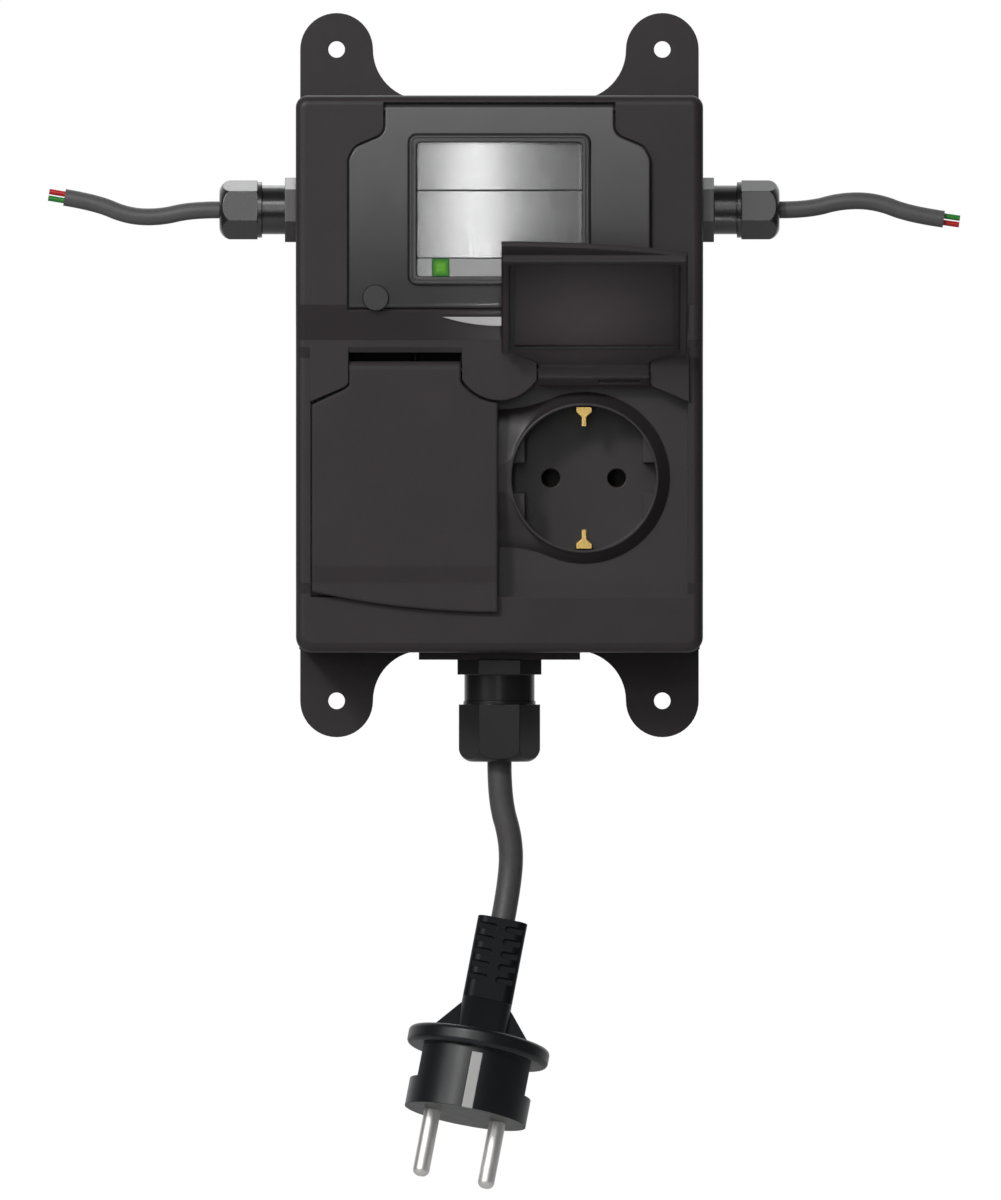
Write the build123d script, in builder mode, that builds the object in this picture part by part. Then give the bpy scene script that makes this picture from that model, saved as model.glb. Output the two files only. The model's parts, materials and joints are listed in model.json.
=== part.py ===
# Wall box with two lidded sockets, a window lid over a residual current device,
# three cable glands and a plug on a short mains cord.
# The wall is the plane Y = 0, the front looks towards -Y and +Z is up.
# The origin is the centre of the four wall holes. Lengths are in millimetres.
import os
from math import cos, hypot, pi, radians, sin, sqrt, tan

from build123d import *

os.makedirs("parts", exist_ok=True)

# General
overrun = 3.0  # how far cuts run past the faces that they open
fit_gap = 0.3  # between pieces that slide past or drop into each other
pin_gap = 0.05  # round a pin in its hole
touch = 0.05  # how near an edge counts as lying on a face

# Box
box_width = 117.0
box_height = 160.0
wall = 3.0
top_corner_radius = 3.5
bottom_corner_radius = 4.5
front_edge_radius = 2.8
half = box_width / 2
top = box_height / 2
bottom = -top

# Depths, out from the wall, each from the one behind it
rear_depth = 36.0
panel_seat = 1.5
panel_thickness = 2.5
pocket_depth = 6.0
strip_proud = 1.5
band_proud = 1.5
recess_proud = 3.0
hood_proud = 2.0
panel_back_depth = rear_depth + panel_seat
panel_depth = panel_back_depth + panel_thickness
lower_front_depth = panel_depth + pocket_depth
strip_depth = lower_front_depth + strip_proud
band_depth = strip_depth + band_proud
recess_depth = band_depth + recess_proud
hood_depth = recess_depth + hood_proud

# Ears with the wall holes
ear_hole_x = 47.0
ear_hole_z = 94.0
ear_hole_radius = 2.4
ear_radius = 10.5
ear_flank_radius = 14.5
ear_thickness = 4.0

# Front housing heights
hood_height = 70.2  # from the top down to the flat band
hood_slope = 10.0  # height of the slanted underside of the hood
band_height = 3.6  # flat band above the lid slots
band_ramp = 3.0
base_height = 20.0  # plain area below the side strips
pocket_height = 70.3  # opening round the socket panel
pocket_margin = 4.3  # from the box side to the pocket
band_z = top - hood_height
slot_top_z = band_z - band_height
pocket_foot_z = slot_top_z - pocket_height
pocket_half = half - pocket_margin
strip_foot_z = bottom + base_height

# Housing screws and their columns
column_inset = 8.5
column_radius = 4.0
screw_radius = 1.6
screw_head_radius = 3.0
screw_head_depth = 2.4
screw_bite = 3.0  # how far the screws reach into the front housing
screw_length = rear_depth + screw_bite

# Housing seal
seal_width = 1.2

# Lower lids and their hinges
lid_thickness = 2.5
lid_side_gap = 0.35
lid_centre_gap = 1.1
lid_lap = 4.3  # free edge at the middle, below the pocket
lid_edge_rise = 5.9  # how much higher the free edge is at the outer side
lid_shoulder_gap = 0.75
neck_gap = 0.45
lid_dish = 0.8
lid_dish_height = 9.0
lid_dish_ramp = 5.0
skirt_wall = 1.8
skirt_depth = 2.3
skirt_top_drop = 2.5  # upper end of the skirt below the lid's shoulder
gasket_width = 1.6
gasket_height = 0.8
hinge_drop = 4.9  # hinge axis below the slot
hinge_radius = 2.4
hinge_pin_radius = 1.0
hinge_pin_hold = 4.6  # how far the pin reaches into each bracket
hinge_block = 4.0  # square back of the barrel, behind the hinge axis
hinge_slot_near = 17.1  # slot in that back, from the inner end
hinge_slot_width = 12.1
hinge_slot_height = 1.8
hinge_slot_cut = 1.2
open_angle = 120.0
hinge_z = slot_top_z - hinge_drop
hinge_depth = band_depth - hinge_radius

# Brackets between the lid necks
bracket_width = 10.8
bracket_inner_drop = 8.6  # below the slot top, beside the neck
bracket_knee = 0.9
bracket_knee_drop = 1.2
bracket_outer_drop = 14.2
shield_half = 10.7
shield_side_drop = 7.7
shield_drop = 13.7

# Lid over the device
upper_lid_half = 43.1
upper_lid_neck_half = 32.7
upper_lid_corner = 3.4
upper_lid_corner_run = 1.8
upper_lid_round = 4.0
upper_lid_shoulder_drop = 3.6
upper_lid_top_gap = 2.6
upper_lid_neck_height = 8.7
upper_lid_height = 58.7
upper_lid_gap = 0.6
upper_lid_edge_proud = 2.2
upper_lid_crown_proud = 4.3
upper_lid_foot_radius = 2.0
upper_hinge_radius = 1.4
upper_hinge_inset = 1.0  # axis above the floor of the recess
upper_pin_radius = 0.7
upper_pin_hold = 2.6
screw_cap_radius = 3.6
screw_cap_height = 1.7
screw_cap_seat = 1.4  # from the back of the lid to the seat of the cap
screw_cap_side = 7.6  # in from the lid's side
screw_cap_rise = 3.1  # up from the lid's lower edge
upper_lid_edge_depth = recess_depth + upper_lid_edge_proud
upper_lid_crown_depth = recess_depth + upper_lid_crown_proud
upper_lid_top_z = top - upper_lid_top_gap
upper_lid_foot_z = upper_lid_top_z - upper_lid_height
upper_hinge_z = upper_lid_top_z - upper_hinge_radius
upper_hinge_depth = recess_depth + upper_hinge_inset

# Window in that lid
window_width = 52.4
window_height = 43.4
window_foot = 6.8  # above the lid's lower edge
window_corner = 2.5
window_rim = 2.45
window_proud = 0.5
window_groove_inset = 0.9
window_groove_width = 0.4
window_groove_cut = 0.4
pane_thickness = 1.6
window_foot_z = upper_lid_foot_z + window_foot
window_z = window_foot_z + window_height / 2

# Socket panel
socket_pitch = 48.6
socket_rise = 34.3  # centre of the sockets above the foot of the pocket
well_radius = 20.8
well_wall = 2.0
well_depth = 17.3  # from the collar's rim to the floor
well_floor = 2.5
collar_radius = 24.7
collar_rim = 0.6
collar_rise = 3.8
bridge_half = 19.75  # half height of the bridge between the collars
bridge_rise_shares = (0.0, 0.55, 0.85, 1.0)  # sections up the collars, from the panel to the rim
bridge_waist_shares = (1.0, 0.8, 0.52, 0.2)  # half height of the bridge in each of them
pin_pitch = 19.0
pin_hole_radius = 2.7
key_half = 17.0  # from the socket's centre to the flat of its side keys
key_slot = 8.8
key_lid = 3.0  # from the collar's rim down to the keys
socket_z = pocket_foot_z + socket_rise
rim_depth = panel_depth + collar_rise
floor_depth = rim_depth - well_depth
floor_back_depth = floor_depth - well_floor

# Contacts behind the sockets
clip_width = 4.5
clip_nose_width = 1.3
clip_head = 0.9
clip_taper = 1.4
clip_thickness = 1.0
clip_wall_gap = 0.4
clip_reach = 5.0
clip_front = 3.2  # from the collar's rim to the clip's nose
clip_nose_length = 2.4
sleeve_radius = 3.6
sleeve_bore = 2.6
sleeve_back_gap = 7.0  # from the back wall to the sleeves
bar_thickness = 1.2
bar_width = 6.0
bar_front_gap = 5.5  # from the bars to the floor of the wells
sleeve_length = floor_back_depth - wall - sleeve_back_gap
bar_depth = floor_back_depth - bar_front_gap - bar_width
earth_bar_half = 2.5
earth_bar_rise = 9.0  # above the socket centres

# Rail and residual current device
rail_width = 35.0
rail_lip = 4.0
rail_height = 7.5
rail_sheet = 1.0
rail_length = 84.0
rail_post_height = 5.0
rail_post_width = 8.0
device_half = 26.0
device_head_gap = 6.6  # from the top of the device to the top wall
device_inset = 2.0  # face behind the floor of the lid's recess
device_nose = 6.0  # from the shoulder to the face
device_foot_z = upper_lid_foot_z - fit_gap
device_height = top - wall - device_head_gap - device_foot_z
device_face_depth = recess_depth - device_inset
device_shoulder_depth = device_face_depth - device_nose
nose_margin = 1.6
fascia_thickness = 0.8
fascia_width = 47.5
fascia_height = 38.8
fascia_strip_height = 5.3
fascia_gap = 0.2
fascia_bow = 0.9
fascia_seam_height = 19.2
fascia_seam = 0.5
lamp_width = 4.9
lamp_height = 5.1
lamp_side = 6.85  # lamp's middle from the strip's end
lamp_proud = 0.4

# Catch of the upper lid on the slanted underside
catch_half = 16.5
catch_height = 2.6
catch_rise = 6.6  # flat edge above the band
catch_inset = 0.8  # front face behind the front of the hood
catch_thickness = 2.9
catch_front_depth = hood_depth - catch_inset
catch_back_depth = catch_front_depth - catch_thickness

# Side glands
side_gland_z = 47.5
gland_back_gap = 4.0  # gland axis behind the floor of the wells
gland_depth = floor_back_depth - gland_back_gap
dome_neck_share = 0.3
dome_width_share = 0.72
dome_height_share = 0.8
side_gland = {
    "thread": 6.0, "bore": 3.4, "hex": 9.4, "hex_length": 3.3, "neck": 7.05, "neck_length": 6.6,
    "ring": 8.05, "ring_length": 1.3, "cap_hex": 8.6, "cap_length": 6.75, "dome_length": 4.2,
    "face": 3.9, "exit": 3.0, "engage": 5.5, "core": 5.6, "nut": 8.6, "nut_length": 3.0, "turn": 38.0,
}

# Bottom gland and the boss that it is screwed to
boss_half = 23.2
boss_height = 2.1
boss_margin = 10.0  # in front of the gland axis
boss_depth = gland_depth + boss_margin
bottom_gland = {
    "thread": 8.0, "bore": 5.6, "hex": 12.1, "hex_length": 4.3, "neck": 10.1, "neck_length": 7.6,
    "ring": 10.4, "ring_length": 1.0, "cap_hex": 11.7, "cap_length": 11.3, "dome_length": 5.2,
    "face": 7.0, "exit": 4.6, "engage": 8.0, "core": 8.6, "nut": 11.5, "nut_length": 4.0, "turn": 0.0,
}

# Cords, with the points of their routes
mains_radius = 3.5
lead_radius = 2.45
core_radius = 0.8
wire_radius = 1.1
supply_side = 2.6
side_reach = half + sum(side_gland[key] for key in ("hex_length", "neck_length", "ring_length"))
side_reach += side_gland["cap_length"] + side_gland["dome_length"]
bottom_reach = boss_height + sum(bottom_gland[key] for key in ("hex_length", "neck_length", "ring_length"))
bottom_reach += bottom_gland["cap_length"] + bottom_gland["dome_length"]
mains_start_z = bottom - bottom_reach

# Steps of each route from the mouth of its gland: sideways and down, or outwards and up
mains_steps = [(0.0, 0.0), (0.0, 11.0), (3.4, 22.5), (3.2, 34.0)]
left_lead_steps = [(0.0, 0.0), (8.15, 0.0), (17.25, -2.2), (26.55, -1.8), (35.55, 2.1), (44.65, 3.6)]
right_lead_steps = [(0.0, 0.0), (8.35, 0.0), (17.95, 2.7), (27.95, 2.5), (37.55, -1.3), (47.35, -2.7)]
mains_route = [(aside, -gland_depth, mains_start_z - down) for aside, down in mains_steps]
left_route = [(-side_reach - out, -gland_depth, side_gland_z + up) for out, up in left_lead_steps]
right_route = [(side_reach + out, -gland_depth, side_gland_z + up) for out, up in right_lead_steps]
mains_last_run = 12.4
arc_share = 0.45  # part of each run that an arc may take
core_length = 4.6
core_spread = 0.95  # from the lead's middle to each core

# Plug: lean of its axis in the front view and tip of its pins towards the viewer
plug_lean = 10.9
plug_tip = 9.5
boot_length = 23.9
boot_width = 14.4
boot_depth = 11.5
boot_corner = 3.0
boot_groove_length = 5.4
boot_groove_height = 1.9
boot_groove_cut = 0.9
boot_groove_pitch = 3.75
boot_groove_first = 2.9
boot_groove_side = 3.9
boot_groove_rows = 5
shoulder_length = 10.8
shoulder_width = 28.4
shoulder_depth = 14.0
shoulder_top_depth = 6.0
web_depth = 22.0  # front to back of the web in line with the boot, at the flange
flange_radius = 20.6
flange_length = 5.2
flange_edge = 1.5
plug_radius = 17.7
plug_flat_half = 15.7
plug_length = 17.9
plug_lug_length = 8.0
plug_pin_radius = 2.4
plug_pin_length = 19.5
plug_pin_root = 12.0
tip_round_share = 0.8  # rounding of a pin tip, as a share of its radius
earth_strip_width = 3.1
earth_strip_length = 16.4
earth_strip_thickness = 1.0


def facing(depth, x=0, z=0):
    """Plane parallel to the wall and this far out from it, seen from the front."""
    return Plane(origin=(x, -depth, z), x_dir=(1, 0, 0), z_dir=(0, -1, 0))


def section(x=0):
    """Upright plane across the box at x: depth along its first axis, height along its second."""
    return Plane(origin=(x, 0, 0), x_dir=(0, -1, 0), z_dir=(-1, 0, 0))


def level(z):
    """Level plane at this height: x along its first axis, depth along its second."""
    return Plane(origin=(0, 0, z), x_dir=(1, 0, 0), z_dir=(0, 0, -1))


def area(x0, x1, y0, y1, mode=Mode.ADD):
    """Rectangle between two corners of the sketch."""
    with Locations(((x0 + x1) / 2, (y0 + y1) / 2)):
        Rectangle(x1 - x0, y1 - y0, mode=mode)


def outline(*points):
    """Closed straight-sided face through these points."""
    with BuildLine() as path:
        Polyline(*points, close=True)
    make_face(path.edges())


def keep(piece, name):
    """Label a finished piece and write it under its name."""
    piece.label = name
    export_step(piece, f"parts/{name}.step")


def round_box_corners(part):
    """Round the four upright corners of the box outline, the lower ones more."""
    fillet(part.edges().filter_by(Axis.Y).group_by(Axis.Z)[-1], top_corner_radius)
    fillet(part.edges().filter_by(Axis.Y).group_by(Axis.Z)[0], bottom_corner_radius)


# Rear housing with its ears, columns, rail posts and gland holes
column_spots = [
    (sx * (half - column_inset), sz * (top - column_inset)) for sx in (-1, 1) for sz in (-1, 1)
]
rail_z = side_gland_z
rail_post_spots = [(s * (rail_length / 2 - rail_post_width), rail_z) for s in (-1, 1)]


def ear(sx, sz):
    """Ear round one wall hole, with a hollow flank that runs into the box."""
    inner_x = ear_hole_x - ear_radius
    flank_x = inner_x - ear_flank_radius
    drop = ear_hole_z - top
    flank_end = flank_x + sqrt(ear_flank_radius**2 - drop**2)
    half_turn = drop / ear_flank_radius / 2
    flank_mid = (
        flank_x + ear_flank_radius * cos(half_turn),
        ear_hole_z - ear_flank_radius * sin(half_turn),
    )
    outer_x = ear_hole_x + ear_radius
    points = [
        (outer_x, top - wall), (outer_x, ear_hole_z), (ear_hole_x, ear_hole_z + ear_radius),
        (inner_x, ear_hole_z), flank_mid, (flank_end, top), (flank_end, top - wall),
    ]
    a, b, c, d, e, f, g = [(sx * x, sz * z) for x, z in points]
    slant = ear_radius * cos(pi / 4)
    with BuildLine() as path:
        Line(a, b)
        ThreePointArc(b, (sx * (ear_hole_x + slant), sz * (ear_hole_z + slant)), c)
        ThreePointArc(c, (sx * (ear_hole_x - slant), sz * (ear_hole_z + slant)), d)
        ThreePointArc(d, e, f)
        Polyline(f, g, a)
    make_face(path.edges())


with BuildPart() as rear_housing:
    with BuildSketch(facing(0)):
        Rectangle(box_width, box_height)
    extrude(amount=rear_depth)
    round_box_corners(rear_housing)
    with BuildSketch(facing(wall)):
        Rectangle(box_width - 2 * wall, box_height - 2 * wall)
    extrude(amount=rear_depth, mode=Mode.SUBTRACT)
    with BuildSketch(facing(0)):
        for sign_x in (-1, 1):
            for sign_z in (-1, 1):
                ear(sign_x, sign_z)
    extrude(amount=ear_thickness)
    with BuildSketch(facing(0)):
        with Locations(*[(sx * ear_hole_x, sz * ear_hole_z) for sx in (-1, 1) for sz in (-1, 1)]):
            Circle(ear_hole_radius)
    extrude(amount=ear_thickness, mode=Mode.SUBTRACT)
    with BuildSketch(facing(wall)):
        with Locations(*column_spots):
            Circle(column_radius)
    extrude(amount=rear_depth - wall)
    with BuildSketch(facing(0)):
        with Locations(*column_spots):
            Circle(screw_radius + fit_gap)
    extrude(amount=rear_depth, mode=Mode.SUBTRACT)
    with BuildSketch(facing(0)):
        with Locations(*column_spots):
            Circle(screw_head_radius + fit_gap)
    extrude(amount=screw_head_depth + fit_gap, mode=Mode.SUBTRACT)
    with BuildSketch(facing(wall)):
        with Locations(*rail_post_spots):
            Rectangle(rail_post_width, rail_width)
    extrude(amount=rail_post_height)
    with BuildSketch(facing(rear_depth - seal_width)):
        Rectangle(box_width - wall + seal_width, box_height - wall + seal_width)
        Rectangle(box_width - wall - seal_width, box_height - wall - seal_width, mode=Mode.SUBTRACT)
    extrude(amount=seal_width, mode=Mode.SUBTRACT)
    with BuildSketch(level(bottom)):
        area(-boss_half, boss_half, fit_gap, boss_depth)
    extrude(amount=boss_height)
    with BuildSketch(level(bottom + wall)):
        with Locations((0, gland_depth)):
            Circle(bottom_gland["thread"] + pin_gap)
    extrude(amount=boss_height + wall, mode=Mode.SUBTRACT)
    for sign_x in (-1, 1):
        with BuildSketch(section(sign_x * (half - wall / 2))):
            with Locations((gland_depth, side_gland_z)):
                Circle(side_gland["thread"] + pin_gap)
        extrude(amount=wall, both=True, mode=Mode.SUBTRACT)
keep(rear_housing.part, "rear_housing")

with BuildPart() as housing_seal:
    with BuildSketch(facing(rear_depth - seal_width)):
        Rectangle(box_width - wall + seal_width, box_height - wall + seal_width)
        Rectangle(box_width - wall - seal_width, box_height - wall - seal_width, mode=Mode.SUBTRACT)
    extrude(amount=seal_width)
keep(housing_seal.part, "housing_seal")

with BuildPart() as housing_screws:
    with BuildSketch(facing(0)):
        with Locations(*column_spots):
            Circle(screw_head_radius)
    extrude(amount=screw_head_depth)
    with BuildSketch(facing(0)):
        with Locations(*column_spots):
            Circle(screw_radius)
    extrude(amount=screw_length)
keep(housing_screws.part, "housing_screws")

# Front housing: hood, band, side strips, brackets and pocket
bracket_inner_x = pocket_half - bracket_width


def shield_z(x, radius):
    """Height of a round concentric with the foot of the middle bracket."""
    return shield_centre_z - sqrt(radius**2 - x**2)


shield_sag = shield_drop - shield_side_drop
shield_radius = (shield_half**2 + shield_sag**2) / (2 * shield_sag)
shield_centre_z = slot_top_z - shield_drop + shield_radius


def upper_lid_face(grow=0):
    """Front outline of the lid over the device, grown all round."""
    neck_foot = upper_lid_top_z - upper_lid_neck_height
    shoulder_z = neck_foot - upper_lid_shoulder_drop
    shoulder_x = upper_lid_half - upper_lid_corner_run
    points = [
        (upper_lid_neck_half, upper_lid_top_z), (upper_lid_neck_half, neck_foot),
        (shoulder_x, shoulder_z), (upper_lid_half, shoulder_z - upper_lid_corner),
        (upper_lid_half, upper_lid_foot_z),
    ]
    with BuildLine() as path:
        for sign in (-1, 1):
            FilletPolyline(*[(sign * x, z) for x, z in points], radius=upper_lid_round)
        for x, z in (points[0], points[-1]):
            Line((-x, z), (x, z))
    make_face(path.edges())
    if grow:
        offset(amount=grow, kind=Kind.INTERSECTION)


with BuildPart() as front_housing:
    with BuildSketch(section()):
        outline(
            (rear_depth, bottom), (lower_front_depth, bottom),
            (lower_front_depth, strip_foot_z - band_ramp), (strip_depth, strip_foot_z),
            (strip_depth, slot_top_z - band_ramp / 2), (band_depth, slot_top_z + band_ramp / 2),
            (band_depth, band_z), (hood_depth, band_z + hood_slope), (hood_depth, top), (rear_depth, top),
        )
    extrude(amount=half, both=True)
    round_box_corners(front_housing)
    side_x = half - top_corner_radius
    end_z = top - bottom_corner_radius
    rim = [
        edge for edge in front_housing.edges()
        if -edge.center().Y > lower_front_depth - touch
        and (abs(edge.center().X) > side_x or abs(edge.center().Z) > end_z)
    ]
    fillet(rim, front_edge_radius)
    with BuildSketch(facing(rear_depth)):
        Rectangle(box_width - 2 * wall, box_height - 2 * wall)
        with Locations(*column_spots):
            Circle(column_radius, mode=Mode.SUBTRACT)
    extrude(amount=panel_depth - rear_depth, mode=Mode.SUBTRACT)
    with BuildSketch(facing(rear_depth)):
        area(wall - half, half - wall, band_z + wall, upper_lid_top_z - 2 * wall)
    extrude(amount=band_depth - wall - rear_depth, mode=Mode.SUBTRACT)
    with BuildSketch(facing(rear_depth)):
        area(wall - half, half - wall, band_z + hood_slope, upper_lid_top_z - 2 * wall)
    extrude(amount=hood_depth - wall - rear_depth, mode=Mode.SUBTRACT)
    with BuildSketch(facing(rear_depth)):
        area(-pocket_half, pocket_half, pocket_foot_z, slot_top_z)
    extrude(amount=hood_depth, mode=Mode.SUBTRACT)
    with BuildSketch(facing(panel_depth)):
        for sign_x in (-1, 1):
            outline(
                (sign_x * (pocket_half + fit_gap), slot_top_z + wall / 2),
                (sign_x * bracket_inner_x, slot_top_z + wall / 2),
                (sign_x * bracket_inner_x, slot_top_z - bracket_inner_drop),
                (
                    sign_x * (bracket_inner_x + bracket_knee),
                    slot_top_z - bracket_inner_drop - bracket_knee_drop,
                ),
                (sign_x * (pocket_half + fit_gap), slot_top_z - bracket_outer_drop),
            )
        with BuildLine():
            shield_side_z = slot_top_z - shield_side_drop
            shield_foot = (0, slot_top_z - shield_drop)
            ThreePointArc((-shield_half, shield_side_z), shield_foot, (shield_half, shield_side_z))
            Polyline(
                (shield_half, shield_side_z), (shield_half, slot_top_z + wall / 2),
                (-shield_half, slot_top_z + wall / 2), (-shield_half, shield_side_z),
            )
        make_face()
    extrude(amount=band_depth - panel_depth)
    for sign_x in (-1, 1):
        with BuildSketch(section(sign_x * (shield_half + bracket_inner_x) / 2)):
            with Locations((hinge_depth, hinge_z)):
                Circle(hinge_pin_radius)
        extrude(amount=(bracket_inner_x - shield_half) / 2 + hinge_pin_hold, both=True, mode=Mode.SUBTRACT)
    with BuildSketch(facing(recess_depth)):
        upper_lid_face(upper_lid_gap)
    extrude(amount=overrun, mode=Mode.SUBTRACT)
    with BuildSketch(facing(recess_depth - upper_hinge_inset)):
        area(
            -upper_lid_neck_half - upper_lid_gap, upper_lid_neck_half + upper_lid_gap,
            upper_hinge_z - 2 * upper_hinge_radius, upper_lid_top_z + upper_lid_gap,
        )
    extrude(amount=overrun, mode=Mode.SUBTRACT)
    with BuildSketch(section()):
        with Locations((upper_hinge_depth, upper_hinge_z)):
            Circle(upper_pin_radius)
    extrude(amount=upper_lid_neck_half + upper_pin_hold, both=True, mode=Mode.SUBTRACT)
    with BuildSketch(facing(rear_depth)):
        well_foot_z = upper_lid_foot_z + 2 * wall - fit_gap
        area(-device_half - fit_gap, device_half + fit_gap, well_foot_z, upper_lid_top_z - 2 * wall)
    extrude(amount=hood_depth, mode=Mode.SUBTRACT)
    with BuildSketch(facing(catch_back_depth)):
        catch_z = band_z + catch_rise
        with BuildLine():
            ThreePointArc((-catch_half, catch_z), (0, catch_z - catch_height), (catch_half, catch_z))
            Line((catch_half, catch_z), (-catch_half, catch_z))
        make_face()
    extrude(amount=hood_depth, mode=Mode.SUBTRACT)
    with BuildSketch(facing(rear_depth)):
        with Locations(*column_spots):
            Circle(screw_radius)
    extrude(amount=screw_length - rear_depth, mode=Mode.SUBTRACT)
keep(front_housing.part, "front_housing")

with BuildPart() as lid_catch:
    with BuildSketch(facing(catch_back_depth)):
        with BuildLine():
            ThreePointArc((-catch_half, catch_z), (0, catch_z - catch_height), (catch_half, catch_z))
            Line((catch_half, catch_z), (-catch_half, catch_z))
        make_face()
    extrude(amount=catch_front_depth - catch_back_depth)
keep(lid_catch.part, "lid_catch")

# Lower lids, closed on the left and open on the right
lid_inner_x = lid_centre_gap / 2
lid_outer_x = pocket_half - lid_side_gap
lid_back_depth = band_depth - lid_thickness
skirt_back_depth = lid_back_depth - skirt_depth
neck_inner_x = shield_half + neck_gap
neck_outer_x = bracket_inner_x - fit_gap
lid_foot_z = pocket_foot_z - lid_lap
shoulder_knee_z = slot_top_z - bracket_inner_drop - lid_shoulder_gap
shoulder_bend_z = shoulder_knee_z - bracket_knee_drop
shoulder_outer_z = slot_top_z - bracket_outer_drop - lid_shoulder_gap
hinge_line = Axis((0, -hinge_depth, hinge_z), (-1, 0, 0))
shield_clear_radius = shield_radius + lid_shoulder_gap


def lower_lid_face(side):
    """Front outline of a lower lid below its hinge line."""
    inner = side * lid_inner_x
    outer = side * lid_outer_x
    middle = (lid_inner_x + lid_outer_x) / 2
    edge_radius = (lid_outer_x**2 + lid_edge_rise**2) / (2 * lid_edge_rise)
    edge_centre_z = lid_foot_z + edge_radius
    edge_z = {x: edge_centre_z - sqrt(edge_radius**2 - x**2) for x in (lid_inner_x, middle, lid_outer_x)}
    shield_mid = (lid_inner_x + neck_inner_x) / 2
    knee = (side * (bracket_inner_x + bracket_knee), shoulder_bend_z)
    neck_start = (side * neck_inner_x, shield_z(neck_inner_x, shield_clear_radius))
    shield_end = (inner, shield_z(lid_inner_x, shield_clear_radius))
    free_edge = [(inner, edge_z[lid_inner_x]), (side * middle, edge_z[middle]), (outer, edge_z[lid_outer_x])]
    shield_side = (side * shield_mid, shield_z(shield_mid, shield_clear_radius))
    with BuildLine() as path:
        ThreePointArc(*free_edge)
        Polyline(
            (outer, edge_z[lid_outer_x]), (outer, shoulder_outer_z), knee,
            (side * neck_outer_x, shoulder_knee_z), (side * neck_outer_x, hinge_z),
            (side * neck_inner_x, hinge_z), neck_start,
        )
        ThreePointArc(neck_start, shield_side, shield_end)
        Line(shield_end, (inner, edge_z[lid_inner_x]))
    make_face(path.edges())


def lower_lid(side):
    """Lid plate with its skirt, dished free edge and hinge barrel, closed."""
    near, far = sorted((side * lid_inner_x, side * lid_outer_x))
    skirt_gap = lid_side_gap
    skirt_top_z = shoulder_outer_z - skirt_top_drop
    skirt_foot_z = pocket_foot_z + 2 * fit_gap
    barrel_mid = side * (neck_inner_x + neck_outer_x) / 2
    barrel_half = (neck_outer_x - neck_inner_x) / 2
    slot_mid = side * (neck_inner_x + hinge_slot_near + hinge_slot_width / 2)
    with BuildPart() as lid:
        with BuildSketch(facing(lid_back_depth)):
            lower_lid_face(side)
        extrude(amount=lid_thickness)
        with BuildSketch(facing(skirt_back_depth)):
            area(near + skirt_gap, far - skirt_gap, skirt_foot_z, skirt_top_z)
            area(
                near + skirt_gap + skirt_wall, far - skirt_gap - skirt_wall,
                skirt_foot_z + skirt_wall, skirt_top_z + overrun, mode=Mode.SUBTRACT,
            )
        extrude(amount=skirt_depth)
        with BuildSketch(section(barrel_mid)):
            with Locations((hinge_depth, hinge_z)):
                Circle(hinge_radius)
            with Locations((hinge_depth - hinge_block / 2, hinge_z)):
                Rectangle(hinge_block, 2 * hinge_radius)
        extrude(amount=barrel_half, both=True)
        with BuildSketch(section(slot_mid)):
            with Locations((hinge_depth - hinge_block, hinge_z)):
                Rectangle(2 * hinge_slot_cut, hinge_slot_height)
        extrude(amount=hinge_slot_width / 2, both=True, mode=Mode.SUBTRACT)
        with BuildSketch(section(barrel_mid)):
            with Locations((hinge_depth, hinge_z)):
                Circle(hinge_pin_radius + pin_gap)
        extrude(amount=barrel_half + overrun, both=True, mode=Mode.SUBTRACT)
        with BuildSketch(section(side * (lid_inner_x + lid_outer_x) / 2)):
            dish_top_z = pocket_foot_z + lid_dish_height
            outline(
                (band_depth, dish_top_z), (band_depth + overrun, dish_top_z),
                (band_depth + overrun, lid_foot_z - overrun), (band_depth - lid_dish, lid_foot_z - overrun),
                (band_depth - lid_dish, dish_top_z - lid_dish_ramp),
            )
        extrude(amount=pocket_half, both=True, mode=Mode.SUBTRACT)
    return lid.part


def lower_gasket(side):
    """Soft frame on the back of a lower lid, inside its skirt."""
    near, far = sorted((side * lid_inner_x, side * lid_outer_x))
    inset = lid_side_gap + skirt_wall + pin_gap
    foot_z = pocket_foot_z + 2 * fit_gap + skirt_wall + pin_gap
    head_z = shoulder_outer_z - skirt_top_drop
    with BuildPart() as gasket:
        with BuildSketch(facing(lid_back_depth - gasket_height)):
            area(near + inset, far - inset, foot_z, head_z)
            area(
                near + inset + gasket_width, far - inset - gasket_width, foot_z + gasket_width,
                head_z - gasket_width, mode=Mode.SUBTRACT,
            )
        extrude(amount=gasket_height)
    return gasket.part


for side, side_name, angle in ((-1, "left", 0.0), (1, "right", open_angle)):
    keep(lower_lid(side).rotate(hinge_line, angle), f"{side_name}_lid")
    keep(lower_gasket(side).rotate(hinge_line, angle), f"{side_name}_lid_gasket")
    with BuildPart() as hinge_pin:
        with BuildSketch(section(side * (shield_half + bracket_inner_x) / 2)):
            with Locations((hinge_depth, hinge_z)):
                Circle(hinge_pin_radius)
        extrude(amount=(bracket_inner_x - shield_half) / 2 + hinge_pin_hold, both=True)
    keep(hinge_pin.part, f"{side_name}_hinge_pin")

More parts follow.
